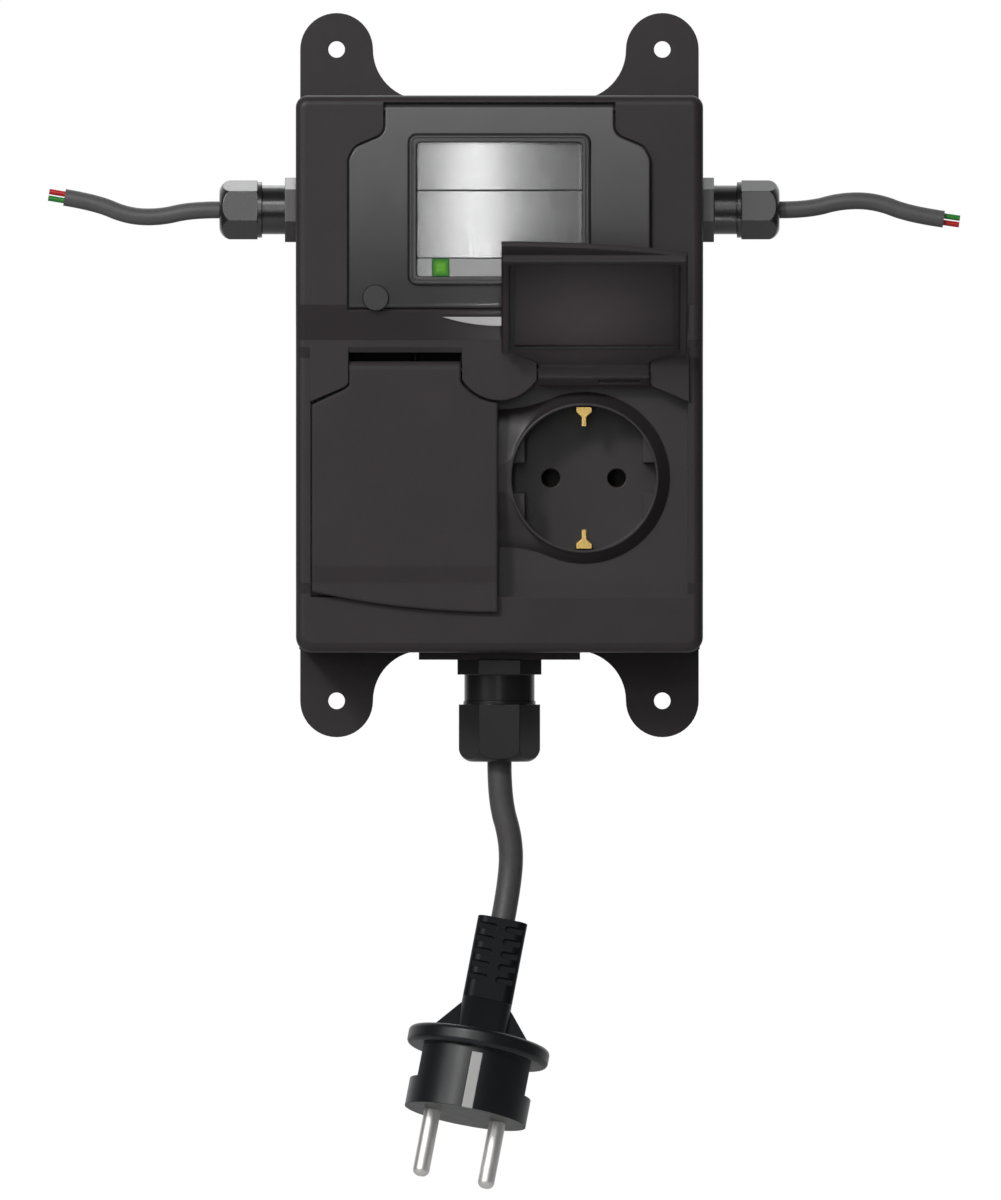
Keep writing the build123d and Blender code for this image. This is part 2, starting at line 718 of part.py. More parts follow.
# Lid over the device, with its window, seal and screw caps
with BuildPart() as upper_lid:
    with BuildSketch(facing(recess_depth)):
        upper_lid_face()
    extrude(amount=upper_lid_crown_depth - recess_depth + overrun)
    with BuildSketch(section()):
        with BuildLine():
            crown_z = (upper_lid_top_z + upper_lid_foot_z) / 2
            foot_curve_z = upper_lid_foot_z + upper_lid_foot_radius
            Polyline(
                (upper_lid_edge_depth - upper_lid_foot_radius, upper_lid_foot_z),
                (recess_depth, upper_lid_foot_z),
                (recess_depth, upper_lid_top_z),
                (upper_lid_edge_depth, upper_lid_top_z),
            )
            ThreePointArc(
                (upper_lid_edge_depth, upper_lid_top_z), (upper_lid_crown_depth, crown_z),
                (upper_lid_edge_depth, foot_curve_z),
            )
            JernArc(
                (upper_lid_edge_depth, foot_curve_z), (0, -1), upper_lid_foot_radius, -90,
            )
        make_face()
    extrude(amount=upper_lid_half, both=True, mode=Mode.INTERSECT)
    with BuildSketch(facing(recess_depth)):
        with Locations((0, window_z)):
            RectangleRounded(window_width, window_height, window_corner)
    extrude(amount=hood_depth, mode=Mode.SUBTRACT)
    for sign_x in (-1, 1):
        cap_x = sign_x * (upper_lid_half - screw_cap_side)
        with BuildSketch(facing(recess_depth, cap_x, upper_lid_foot_z + screw_cap_rise)):
            Circle(screw_cap_radius / 2)
        extrude(amount=screw_cap_seat, mode=Mode.SUBTRACT)
        with BuildSketch(facing(recess_depth + screw_cap_seat, cap_x, upper_lid_foot_z + screw_cap_rise)):
            Circle(screw_cap_radius + pin_gap)
        extrude(amount=hood_depth, mode=Mode.SUBTRACT)
    with BuildSketch(section()):
        with Locations((upper_hinge_depth, upper_hinge_z)):
            Circle(upper_hinge_radius)
    extrude(amount=upper_lid_neck_half, both=True)
    with BuildSketch(section()):
        area(
            recess_depth - overrun, upper_lid_crown_depth + overrun,
            upper_hinge_z, upper_lid_top_z + overrun,
        )
        with Locations((upper_hinge_depth, upper_hinge_z)):
            Circle(upper_hinge_radius, mode=Mode.SUBTRACT)
    extrude(amount=upper_lid_half, both=True, mode=Mode.SUBTRACT)
    with BuildSketch(section()):
        with Locations((upper_hinge_depth, upper_hinge_z)):
            Circle(upper_pin_radius + pin_gap)
    extrude(amount=upper_lid_half, both=True, mode=Mode.SUBTRACT)
keep(upper_lid.part, "upper_lid")

with BuildPart() as window_frame:
    with BuildSketch(facing(recess_depth)):
        with Locations((0, window_z)):
            RectangleRounded(window_width - fit_gap, window_height - fit_gap, window_corner)
            RectangleRounded(
                window_width - 2 * window_rim, window_height - 2 * window_rim,
                window_corner / 2, mode=Mode.SUBTRACT,
            )
    extrude(amount=upper_lid_crown_depth + window_proud - recess_depth)
    frame_depth = upper_lid_crown_depth + window_proud
    chamfer(window_frame.faces().sort_by(Axis.Y)[0].outer_wire().edges(), window_proud)
    chamfer(window_frame.faces().sort_by(Axis.Y)[0].inner_wires()[0].edges(), window_proud / 2)
    with BuildSketch(facing(frame_depth - window_groove_cut)):
        with Locations((0, window_z)):
            groove_inset = window_groove_inset + fit_gap / 2
            groove_end = groove_inset + window_groove_width
            for inset, mode in ((groove_inset, Mode.ADD), (groove_end, Mode.SUBTRACT)):
                RectangleRounded(
                    window_width - 2 * inset, window_height - 2 * inset, window_corner - inset, mode=mode,
                )
    extrude(amount=window_groove_cut, mode=Mode.SUBTRACT)
keep(window_frame.part, "window_frame")

with BuildPart() as window_pane:
    with BuildSketch(facing(upper_lid_crown_depth - pane_thickness)):
        with Locations((0, window_z)):
            RectangleRounded(
                window_width - 2 * window_rim - fit_gap, window_height - 2 * window_rim - fit_gap,
                window_corner / 2,
            )
    extrude(amount=pane_thickness)
keep(window_pane.part, "window_pane")

with BuildPart() as lid_screw_caps:
    cap_spots = [
        (sx * (upper_lid_half - screw_cap_side), upper_lid_foot_z + screw_cap_rise) for sx in (-1, 1)
    ]
    with BuildSketch(facing(recess_depth)):
        with Locations(*cap_spots):
            Circle(screw_cap_radius / 2 - pin_gap)
    extrude(amount=screw_cap_seat)
    with BuildSketch(facing(recess_depth + screw_cap_seat)):
        with Locations(*cap_spots):
            Circle(screw_cap_radius)
    extrude(amount=screw_cap_height)
keep(lid_screw_caps.part, "lid_screw_caps")

with BuildPart() as upper_hinge_pin:
    with BuildSketch(section()):
        with Locations((upper_hinge_depth, upper_hinge_z)):
            Circle(upper_pin_radius)
    extrude(amount=upper_lid_neck_half + upper_pin_hold, both=True)
keep(upper_hinge_pin.part, "upper_hinge_pin")

# Socket panel: collars joined by a waisted bridge, over a flange behind the pocket
socket_x = socket_pitch / 2
clip_centre = well_radius - clip_wall_gap - clip_thickness / 2


def goggle(radius, waist):
    """Two round collars joined by a bridge whose edges run into them smoothly."""
    valley_radius = (socket_x**2 + waist**2 - radius**2) / (2 * (radius - waist))
    valley_z = waist + valley_radius
    reach = radius / hypot(socket_x, valley_z)
    meet = (socket_x * (1 - reach), valley_z * reach)
    with BuildLine() as path:
        for sign in (-1, 1):
            centre = (sign * socket_x, socket_z)
            upper = (sign * meet[0], socket_z + meet[1])
            lower = (sign * meet[0], socket_z - meet[1])
            ThreePointArc(upper, (centre[0] + sign * radius, socket_z), lower)
        for sign in (-1, 1):
            ThreePointArc(
                (-meet[0], socket_z + sign * meet[1]), (0, socket_z + sign * waist),
                (meet[0], socket_z + sign * meet[1]),
            )
    make_face(path.edges())


socket_spots = [(sx * socket_x, socket_z) for sx in (-1, 1)]
collar_slope = collar_radius - well_radius - collar_rim
with BuildPart() as bridge:
    for rise_share, waist_share in zip(bridge_rise_shares, bridge_waist_shares):
        with BuildSketch(facing(panel_depth + rise_share * collar_rise)):
            goggle(collar_radius - rise_share * collar_slope, waist_share * bridge_half)
    loft()

with BuildPart() as socket_panel:
    with BuildSketch(facing(panel_back_depth)):
        area(
            wall + fit_gap - half, half - wall - fit_gap,
            pocket_foot_z - wall, slot_top_z + wall,
        )
    extrude(amount=panel_thickness)
    add(bridge.part)
    for side in (-1, 1):
        near_x, far_x = sorted((side * neck_inner_x, side * neck_outer_x))
        with BuildSketch(facing(panel_back_depth)):
            area(near_x, far_x, hinge_z + hinge_radius, slot_top_z)
        extrude(amount=panel_thickness, mode=Mode.SUBTRACT)
    with BuildSketch(facing(panel_back_depth)):
        with Locations(*socket_spots):
            Circle(well_radius + well_wall + pin_gap)
    extrude(amount=panel_thickness, mode=Mode.SUBTRACT)
    with BuildSketch(facing(panel_back_depth)):
        with Locations(*socket_spots):
            Circle(well_radius)
    extrude(amount=rim_depth, mode=Mode.SUBTRACT)
keep(socket_panel.part, "socket_panel")


def socket_well(centre_x):
    """Cup behind a collar: side keys, floor with pin holes and slots for the clips."""
    key_depth = rim_depth - key_lid
    with BuildPart() as well:
        with BuildSketch(facing(floor_back_depth, centre_x, socket_z)):
            Circle(well_radius + well_wall)
        extrude(amount=panel_depth - floor_back_depth)
        with BuildSketch(facing(floor_depth, centre_x, socket_z)):
            Circle(well_radius)
            for sign in (-1, 1):
                for side_z in (-1, 1):
                    z0, z1 = sorted((side_z * key_slot / 2, side_z * well_radius))
                    x0, x1 = sorted((sign * key_half, sign * well_radius))
                    area(x0, x1, z0, z1, mode=Mode.SUBTRACT)
        extrude(amount=key_depth - floor_depth, mode=Mode.SUBTRACT)
        with BuildSketch(facing(key_depth, centre_x, socket_z)):
            Circle(well_radius)
        extrude(amount=panel_depth, mode=Mode.SUBTRACT)
        with BuildSketch(facing(floor_back_depth, centre_x, socket_z)):
            with Locations((-pin_pitch / 2, 0), (pin_pitch / 2, 0)):
                Circle(pin_hole_radius)
            with Locations((0, clip_centre), (0, -clip_centre)):
                Rectangle(clip_width + fit_gap, clip_thickness + fit_gap)
        extrude(amount=well_floor, mode=Mode.SUBTRACT)
    return well.part


def earth_clip(centre_x):
    """Bent strip behind the floor, up both sides of the well, with a nose at each end."""
    nose_depth = rim_depth - clip_front
    strap_depth = floor_back_depth - clip_thickness
    with BuildPart() as clip:
        with BuildSketch(facing(strap_depth, centre_x, socket_z)):
            Rectangle(clip_width, 2 * clip_centre + clip_thickness)
        extrude(amount=clip_thickness)
        with BuildSketch(facing(strap_depth, centre_x, socket_z)):
            with Locations((0, clip_centre), (0, -clip_centre)):
                Rectangle(clip_width, clip_thickness)
        extrude(amount=nose_depth - strap_depth)
        with BuildSketch(facing(nose_depth - clip_nose_length, centre_x, socket_z)):
            for sign in (-1, 1):
                half_head = [
                    (clip_width / 2, sign * clip_centre),
                    (clip_width / 2, sign * (clip_centre - clip_head)),
                    (clip_nose_width / 2, sign * (clip_centre - clip_head - clip_taper)),
                    (clip_nose_width / 2, sign * (clip_centre - clip_reach)),
                ]
                outline(*half_head, *[(-x, z) for x, z in reversed(half_head)])
        extrude(amount=clip_nose_length)
    return clip.part


def pin_contacts(centre_x):
    """Two spring sleeves behind the pin holes."""
    with BuildPart() as sleeves:
        with BuildSketch(facing(floor_back_depth - sleeve_length, centre_x, socket_z)):
            with Locations((-pin_pitch / 2, 0), (pin_pitch / 2, 0)):
                Circle(sleeve_radius)
                Circle(sleeve_bore, mode=Mode.SUBTRACT)
        extrude(amount=sleeve_length)
    return sleeves.part


for side, side_name in ((-1, "left"), (1, "right")):
    keep(socket_well(side * socket_x), f"{side_name}_socket_well")
    keep(earth_clip(side * socket_x), f"{side_name}_earth_clip")
    keep(pin_contacts(side * socket_x), f"{side_name}_pin_contacts")

# Bars that join the contacts of both sockets
far_pin_x = socket_x + pin_pitch / 2
near_pin_x = socket_x - pin_pitch / 2
earth_bar_depth = floor_back_depth - clip_thickness - bar_thickness
bar_runs = (("live_bar", -far_pin_x, near_pin_x, 1), ("neutral_bar", -near_pin_x, far_pin_x, -1))
for name, x0, x1, above in bar_runs:
    bar_edges = sorted(
        (socket_z + above * sleeve_radius, socket_z + above * (sleeve_radius + bar_thickness))
    )
    with BuildPart() as bar:
        with BuildSketch(facing(bar_depth)):
            area(x0 - sleeve_radius / 2, x1 + sleeve_radius / 2, *bar_edges)
        extrude(amount=bar_width)
    keep(bar.part, name)

with BuildPart() as earth_bar:
    with BuildSketch(facing(earth_bar_depth)):
        earth_bar_z = socket_z + earth_bar_rise
        area(-socket_x, socket_x, earth_bar_z - earth_bar_half, earth_bar_z + earth_bar_half)
    extrude(amount=bar_thickness)
keep(earth_bar.part, "earth_bar")

# Mounting rail, device and its face
rail_back_depth = wall + rail_post_height
with BuildPart() as mounting_rail:
    with BuildSketch(Plane(origin=(-rail_length / 2, 0, rail_z), x_dir=(0, -1, 0), z_dir=(-1, 0, 0))):
        lip_depth = rail_back_depth + rail_height
        web_half = rail_width / 2 - rail_lip
        outline(
            (rail_back_depth, -web_half), (rail_back_depth, web_half), (lip_depth - rail_sheet, web_half),
            (lip_depth - rail_sheet, rail_width / 2), (lip_depth, rail_width / 2),
            (lip_depth, web_half - rail_sheet), (rail_back_depth + rail_sheet, web_half - rail_sheet),
            (rail_back_depth + rail_sheet, rail_sheet - web_half), (lip_depth, rail_sheet - web_half),
            (lip_depth, -rail_width / 2), (lip_depth - rail_sheet, -rail_width / 2),
            (lip_depth - rail_sheet, -web_half),
        )
    extrude(amount=-rail_length)
keep(mounting_rail.part, "mounting_rail")

device_back_depth = rail_back_depth + rail_height
fascia_z = window_foot_z + window_rim + fascia_height / 2
fascia_foot_z = fascia_z - fascia_height / 2
with BuildPart() as device_body:
    with BuildSketch(facing(device_back_depth)):
        area(-device_half, device_half, device_foot_z, device_foot_z + device_height)
    extrude(amount=device_shoulder_depth - device_back_depth)
    with BuildSketch(facing(device_shoulder_depth)):
        with Locations((0, fascia_z)):
            Rectangle(fascia_width + nose_margin, fascia_height + nose_margin)
    extrude(amount=device_face_depth - device_shoulder_depth)
keep(device_body.part, "device_body")

with BuildPart() as device_fascia:
    fascia_split_z = fascia_foot_z + fascia_strip_height
    with BuildSketch(level(fascia_split_z + fascia_gap)):
        with BuildLine():
            Polyline(
                (-fascia_width / 2, device_face_depth + fascia_thickness),
                (-fascia_width / 2, device_face_depth),
                (fascia_width / 2, device_face_depth),
                (fascia_width / 2, device_face_depth + fascia_thickness),
            )
            ThreePointArc(
                (-fascia_width / 2, device_face_depth + fascia_thickness),
                (0, device_face_depth + fascia_thickness + fascia_bow),
                (fascia_width / 2, device_face_depth + fascia_thickness),
            )
        make_face()
    extrude(amount=fascia_strip_height + fascia_gap - fascia_height)
    with BuildSketch(facing(device_face_depth + fascia_thickness / 2)):
        seam_z = fascia_split_z + fascia_seam_height
        area(-fascia_width / 2, fascia_width / 2, seam_z, seam_z + fascia_seam)
    extrude(amount=overrun, mode=Mode.SUBTRACT)
keep(device_fascia.part, "device_fascia")

lamp_spot = (lamp_side - fascia_width / 2, fascia_foot_z + fascia_strip_height / 2)
with BuildPart() as indicator_strip:
    with BuildSketch(facing(device_face_depth)):
        area(-fascia_width / 2, fascia_width / 2, fascia_foot_z, fascia_split_z - fascia_gap / 2)
        with Locations(lamp_spot):
            Rectangle(lamp_width, lamp_height, mode=Mode.SUBTRACT)
    extrude(amount=fascia_thickness)
keep(indicator_strip.part, "indicator_strip")

with BuildPart() as status_lamp:
    with BuildSketch(facing(device_face_depth)):
        with Locations(lamp_spot):
            Rectangle(lamp_width - pin_gap, lamp_height - pin_gap)
    extrude(amount=fascia_thickness + lamp_proud)
keep(status_lamp.part, "status_lamp")


# Cable glands: threaded body with its hexagon, cap with a domed nose, soft seal and nut inside the wall
def gland(name, seat, size, inside, turn):
    """Write the four pieces of a gland whose seat plane looks outwards from the box."""
    upright = Plane(origin=seat.origin, x_dir=seat.x_dir, z_dir=-seat.y_dir)
    axis = Axis(seat.origin, seat.z_dir)
    neck_start = size["hex_length"]
    cap_start = neck_start + size["neck_length"]
    cap_hex_start = cap_start + size["ring_length"]
    dome_start = cap_hex_start + size["cap_length"]
    dome_end = dome_start + size["dome_length"]
    core_end = cap_start + size["engage"]
    nose_radius = size["cap_hex"]
    with BuildPart() as body:
        with BuildSketch(seat):
            RegularPolygon(size["hex"], 6, rotation=turn)
        extrude(amount=neck_start)
        with BuildSketch(seat.offset(neck_start)):
            Circle(size["neck"])
        extrude(amount=size["neck_length"])
        with BuildSketch(seat.offset(cap_start)):
            Circle(size["core"])
        extrude(amount=size["engage"])
        with BuildSketch(seat.offset(-inside - size["nut_length"] - fit_gap)):
            Circle(size["thread"])
        extrude(amount=inside + size["nut_length"] + fit_gap)
        with BuildSketch(seat.offset(-inside - size["nut_length"] - fit_gap)):
            Circle(size["bore"])
        extrude(amount=core_end + 2 * inside + size["nut_length"] + fit_gap, mode=Mode.SUBTRACT)
    keep(body.part, f"{name}_gland_body")
    with BuildPart() as cap:
        with BuildSketch(seat.offset(cap_hex_start)):
            RegularPolygon(size["cap_hex"], 6, rotation=turn)
        extrude(amount=size["cap_length"] + size["dome_length"])
        with BuildSketch(upright):
            with BuildLine() as path:
                mid_radius = size["face"] + (nose_radius - size["face"]) * dome_width_share
                round_start = dome_start + size["dome_length"] * dome_neck_share
                Polyline(
                    (nose_radius, round_start), (nose_radius, cap_start), (0, cap_start), (0, dome_end),
                    (size["face"], dome_end),
                )
                ThreePointArc(
                    (size["face"], dome_end),
                    (mid_radius, dome_start + size["dome_length"] * dome_height_share),
                    (nose_radius, round_start),
                )
            make_face(path.edges())
        revolve(axis=axis, mode=Mode.INTERSECT)
        with BuildSketch(seat.offset(cap_start)):
            Circle(size["ring"])
        extrude(amount=size["ring_length"])
        with BuildSketch(seat.offset(cap_start)):
            Circle(size["core"] + pin_gap)
        extrude(amount=size["engage"] + pin_gap, mode=Mode.SUBTRACT)
        with BuildSketch(seat.offset(cap_start)):
            Circle(size["exit"])
        extrude(amount=dome_end, mode=Mode.SUBTRACT)
    keep(cap.part, f"{name}_gland_cap")
    with BuildPart() as seal:
        with BuildSketch(seat.offset(core_end + pin_gap)):
            Circle(size["exit"] - pin_gap)
        extrude(amount=dome_end - core_end - pin_gap)
    keep(seal.part, f"{name}_gland_seal")
    with BuildPart() as nut:
        with BuildSketch(seat.offset(-inside)):
            RegularPolygon(size["nut"], 6)
            Circle(size["thread"] + pin_gap, mode=Mode.SUBTRACT)
        extrude(amount=-size["nut_length"])
    keep(nut.part, f"{name}_gland_nut")
    return core_end + pin_gap


left_seat = Plane(origin=(-half, -gland_depth, side_gland_z), x_dir=(0, -1, 0), z_dir=(-1, 0, 0))
right_seat = Plane(origin=(half, -gland_depth, side_gland_z), x_dir=(0, -1, 0), z_dir=(1, 0, 0))
bottom_seat = Plane(origin=(0, -gland_depth, bottom - boss_height), x_dir=(1, 0, 0), z_dir=(0, 0, -1))
gland("left", left_seat, side_gland, wall, side_gland["turn"])
side_seal_reach = gland("right", right_seat, side_gland, wall, -side_gland["turn"])
bottom_seal_reach = gland("bottom", bottom_seat, bottom_gland, wall + boss_height, bottom_gland["turn"])

# Wires inside the box: supply and earth from the bottom gland, feeds to the bars, sensing leads
supply_start_z = bottom - boss_height - bottom_seal_reach


def straight_wire(start, end, radius):
    """Round wire between two points."""
    run = Vector(*end) - Vector(*start)
    with BuildPart() as wire:
        with BuildSketch(Plane(origin=start, z_dir=run)):
            Circle(radius)
        extrude(amount=run.length)
    return wire.part


earth_wire_depth = earth_bar_depth - wire_radius
bar_middle = -(bar_depth + bar_width / 2)
live_top_z = socket_z + sleeve_radius + bar_thickness
neutral_top_z = socket_z - sleeve_radius
wire_runs = [
    ((-supply_side, -gland_depth, supply_start_z), (-supply_side, -gland_depth, device_foot_z)),
    ((supply_side, -gland_depth, supply_start_z), (supply_side, -gland_depth, device_foot_z)),
    ((0, -earth_wire_depth, supply_start_z), (0, -earth_wire_depth, earth_bar_z)),
    ((-socket_x, bar_middle, device_foot_z), (-socket_x, bar_middle, live_top_z)),
    ((socket_x, bar_middle, device_foot_z), (socket_x, bar_middle, neutral_top_z)),
]
with BuildPart() as inner_wires:
    for start, end in wire_runs:
        add(straight_wire(start, end, wire_radius))
keep(inner_wires.part, "inner_wires")

with BuildPart() as sensing_wires:
    for side in (-1, 1):
        for offset_z in (-core_spread, core_spread):
            start = (side * (half + side_seal_reach), -gland_depth, side_gland_z + offset_z)
            end = (side * device_half, -gland_depth, side_gland_z + offset_z)
            add(straight_wire(start, end, core_radius))
keep(sensing_wires.part, "sensing_wires")


# Cords: straight runs joined by arcs as large as the runs allow
def cord_tube(name, route, radius):
    """Tube along a route; prints its radii, its length and how its volume compares."""
    points = [Vector(*point) for point in route]
    radii = []
    for before, corner, after in zip(points, points[1:], points[2:]):
        first = corner - before
        second = after - corner
        turn = radians(first.get_angle(second))
        radii.append(arc_share * min(first.length, second.length) / tan(turn / 2))
    with BuildPart() as tube:
        with BuildLine() as path:
            FilletPolyline(*points, radius=radii)
        with BuildSketch(Plane(origin=points[0], z_dir=points[1] - points[0])):
            Circle(radius)
        sweep(path=path.wires()[0])
    length = sum(edge.length for edge in path.edges())
    ratio = tube.part.volume / (pi * radius**2 * length)
    print(name, "radii", [round(value, 1) for value in radii], "length", round(length, 1))
    print(name, "volume against length times section", round(ratio, 4))
    keep(tube.part, name)


plug_axis = (
    -sin(radians(plug_lean)) * cos(radians(plug_tip)),
    -sin(radians(plug_tip)),
    -cos(radians(plug_lean)) * cos(radians(plug_tip)),
)
boot_top = tuple(start + mains_last_run * step for start, step in zip(mains_route[-1], plug_axis))
cord_tube("mains_cord", [*mains_route, boot_top], mains_radius)
cord_tube("left_lead", left_route, lead_radius)
cord_tube("right_lead", right_route, lead_radius)

for side_name, route in (("left", left_route), ("right", right_route)):
    last = Vector(*route[-1])
    run = (last - Vector(*route[-2])).normalized()
    upward = run.cross(Vector(0, 1, 0)).normalized()
    if upward.Z < 0:
        upward = -upward
    for colour, height in (("red", 1), ("green", -1)):
        spread = upward * core_spread * (height if side_name == "left" else -height)
        start = last + spread
        core = straight_wire(tuple(start), tuple(start + run * core_length), core_radius)
        keep(core, f"{side_name}_{colour}_core")

# Plug, in its own frame: origin at the top of the boot, pins along its axis,
# front face along its second axis
plug_side = (cos(radians(plug_lean)), 0, -sin(radians(plug_lean)))
plug = Plane(origin=boot_top, x_dir=plug_side, z_dir=plug_axis)
shoulder_end = boot_length + shoulder_length
flange_end = shoulder_end + flange_length
plug_end = flange_end + plug_length

with BuildPart() as plug_boot:
    with BuildSketch(plug):
        RectangleRounded(boot_width, boot_depth, boot_corner)
    extrude(amount=boot_length)
    for sign in (-1, 1):
        for row in range(boot_groove_rows):
            height = boot_groove_first + row * boot_groove_pitch
            groove = Plane(
                origin=plug.from_local_coords((0, sign * boot_depth / 2, height)), x_dir=plug.x_dir,
                z_dir=plug.y_dir * sign,
            )
            with BuildSketch(groove):
                with Locations((-boot_groove_side, 0), (boot_groove_side, 0)):
                    SlotOverall(boot_groove_length, boot_groove_height)
            extrude(amount=-boot_groove_cut, mode=Mode.SUBTRACT)
keep(plug_boot.part, "plug_boot")

with BuildPart() as plug_body:
    with BuildSketch(plug.offset(boot_length)):
        RectangleRounded(boot_width, boot_depth, boot_corner)
    with BuildSketch(plug.offset(shoulder_end)):
        RectangleRounded(boot_width, web_depth, boot_corner)
    loft(ruled=True)
    with BuildSketch(plug.offset(boot_length)):
        Rectangle(boot_width - boot_corner, shoulder_top_depth)
    with BuildSketch(plug.offset(shoulder_end)):
        Rectangle(shoulder_width, shoulder_depth)
    loft(ruled=True)
    with BuildSketch(plug.offset(shoulder_end)):
        Circle(flange_radius)
    extrude(amount=flange_length)
    rim_edges = plug_body.edges().filter_by(GeomType.CIRCLE).filter_by(lambda e: e.radius > plug_radius)
    fillet(rim_edges, flange_edge)
    with BuildSketch(plug.offset(flange_end)):
        Circle(plug_radius)
        Rectangle(2 * plug_flat_half, 2 * plug_radius, mode=Mode.INTERSECT)
    extrude(amount=plug_length)
    with BuildSketch(plug.offset(plug_end - plug_lug_length)):
        Circle(plug_radius)
        Rectangle(2 * plug_radius, plug_radius, mode=Mode.INTERSECT)
    extrude(amount=plug_lug_length)
    with BuildSketch(plug.offset(plug_end - plug_pin_root)):
        with Locations((-pin_pitch / 2, 0), (pin_pitch / 2, 0)):
            Circle(plug_pin_radius + pin_gap)
    extrude(amount=plug_pin_root, mode=Mode.SUBTRACT)
    with BuildSketch(plug.offset(plug_end - earth_strip_length)):
        with Locations((0, plug_radius), (0, -plug_radius)):
            Rectangle(earth_strip_width + 2 * pin_gap, 2 * earth_strip_thickness)
    extrude(amount=earth_strip_length, mode=Mode.SUBTRACT)
keep(plug_body.part, "plug_body")

with BuildPart() as plug_pins:
    with BuildSketch(plug.offset(plug_end - plug_pin_root)):
        with Locations((-pin_pitch / 2, 0), (pin_pitch / 2, 0)):
            Circle(plug_pin_radius)
    extrude(amount=plug_pin_root + plug_pin_length)
    tips = plug_pins.faces().filter_by(GeomType.PLANE).sort_by(Axis(plug.origin, plug.z_dir))[-2:]
    fillet(tips.edges(), plug_pin_radius * tip_round_share)
keep(plug_pins.part, "plug_pins")

with BuildPart() as plug_earth_strips:
    strip_rise = plug_radius - earth_strip_thickness
    with BuildSketch(plug.offset(plug_end - earth_strip_length)):
        strip_middle = strip_rise + earth_strip_thickness / 2
        with Locations((0, strip_middle), (0, -strip_middle)):
            Rectangle(earth_strip_width, earth_strip_thickness)
    extrude(amount=earth_strip_length)
keep(plug_earth_strips.part, "plug_earth_strips")
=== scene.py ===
import json
from math import cos, pi, radians, sin

import bpy
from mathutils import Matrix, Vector


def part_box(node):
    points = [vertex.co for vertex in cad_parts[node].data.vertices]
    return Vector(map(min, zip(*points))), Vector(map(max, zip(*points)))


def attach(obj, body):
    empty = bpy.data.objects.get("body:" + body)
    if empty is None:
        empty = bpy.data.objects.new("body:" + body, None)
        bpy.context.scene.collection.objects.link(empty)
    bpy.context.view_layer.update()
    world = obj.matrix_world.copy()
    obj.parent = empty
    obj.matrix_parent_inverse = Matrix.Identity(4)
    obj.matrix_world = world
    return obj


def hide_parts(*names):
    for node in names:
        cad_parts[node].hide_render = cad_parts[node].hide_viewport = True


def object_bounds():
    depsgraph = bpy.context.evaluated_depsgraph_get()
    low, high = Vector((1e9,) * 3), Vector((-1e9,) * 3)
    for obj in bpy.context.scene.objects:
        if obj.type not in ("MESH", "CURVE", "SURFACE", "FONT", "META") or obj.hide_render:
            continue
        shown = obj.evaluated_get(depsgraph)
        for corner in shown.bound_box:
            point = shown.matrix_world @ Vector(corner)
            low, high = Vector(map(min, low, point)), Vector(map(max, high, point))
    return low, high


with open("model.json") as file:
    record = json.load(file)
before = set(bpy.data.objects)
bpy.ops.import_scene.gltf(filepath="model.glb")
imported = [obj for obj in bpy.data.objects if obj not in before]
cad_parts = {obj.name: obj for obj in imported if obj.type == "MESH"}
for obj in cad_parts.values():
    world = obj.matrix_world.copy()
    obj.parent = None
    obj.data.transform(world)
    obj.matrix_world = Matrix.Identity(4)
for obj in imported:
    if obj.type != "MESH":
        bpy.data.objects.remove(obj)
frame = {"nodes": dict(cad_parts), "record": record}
cad_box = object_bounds()

# Looks of a wall box with two lidded sockets, a device behind a window lid, three glands and a plug.
# The wall is the plane y = 0, the front looks towards -y and z is up. Lengths are in metres.
MM = 0.001

# The photograph's frame, through a long lens straight in front
PHOTO_HEIGHT_PX = 1200
PX_PER_MM = 3.48
VIEW_CENTRE = Vector((0.3 * MM, -45 * MM, -64.9 * MM))
LENS = 1000.0
SENSOR = 36.0
CLIP_END = 50.0

# Cords, with the sizes of the CAD model
MAINS_DIAMETER = 7 * MM
LEAD_DIAMETER = 4.9 * MM
MAINS_LENGTH = 0.0467
LEFT_LENGTH = 0.0456
RIGHT_LENGTH = 0.0483
GLAND_Y = -20 * MM
LEAD_Z = 47.5 * MM
MAINS_START_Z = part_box("mains_cord")[1][2]
LEFT_START_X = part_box("left_lead")[1][0]
RIGHT_START_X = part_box("right_lead")[0][0]
PLUG_LEAN = radians(10.9)  # to the left
PLUG_TILT = radians(9.5)  # to the front
BOOT_REACH = 12.4 * MM  # last stretch of the mains cord, along the plug's axis

# Bends of the cords in millimetres: x and the drop below the gland, or x and z for the leads
MAINS_BENDS = ((0.0, 0.0), (0.0, 11.0), (3.4, 22.5), (3.2, 34.0))
LEFT_BENDS = ((-88.8, 47.5), (-97.9, 45.3), (-107.2, 45.7), (-116.2, 49.6), (-125.3, 51.1))
RIGHT_BENDS = ((89.0, 47.5), (98.6, 50.2), (108.6, 50.0), (118.2, 46.2), (128.0, 44.8))

# Groove across the silver face of the device, coloured dark as painted shade
GROOVE_Z = 52.7 * MM
GROOVE_HALF_HEIGHT = 0.26 * MM
GROOVE_ROUGHNESS = 0.5

# Rounding of edges and depth of relief that only the shading shows
METAL_EDGE = 0.2 * MM
CLEAR_EDGE = 0.3 * MM
FAINT_RELIEF = 0.01 * MM

# Floor
FLOOR_DROP = 30 * MM  # below the tips of the plug's pins
FLOOR_HALF = 0.45

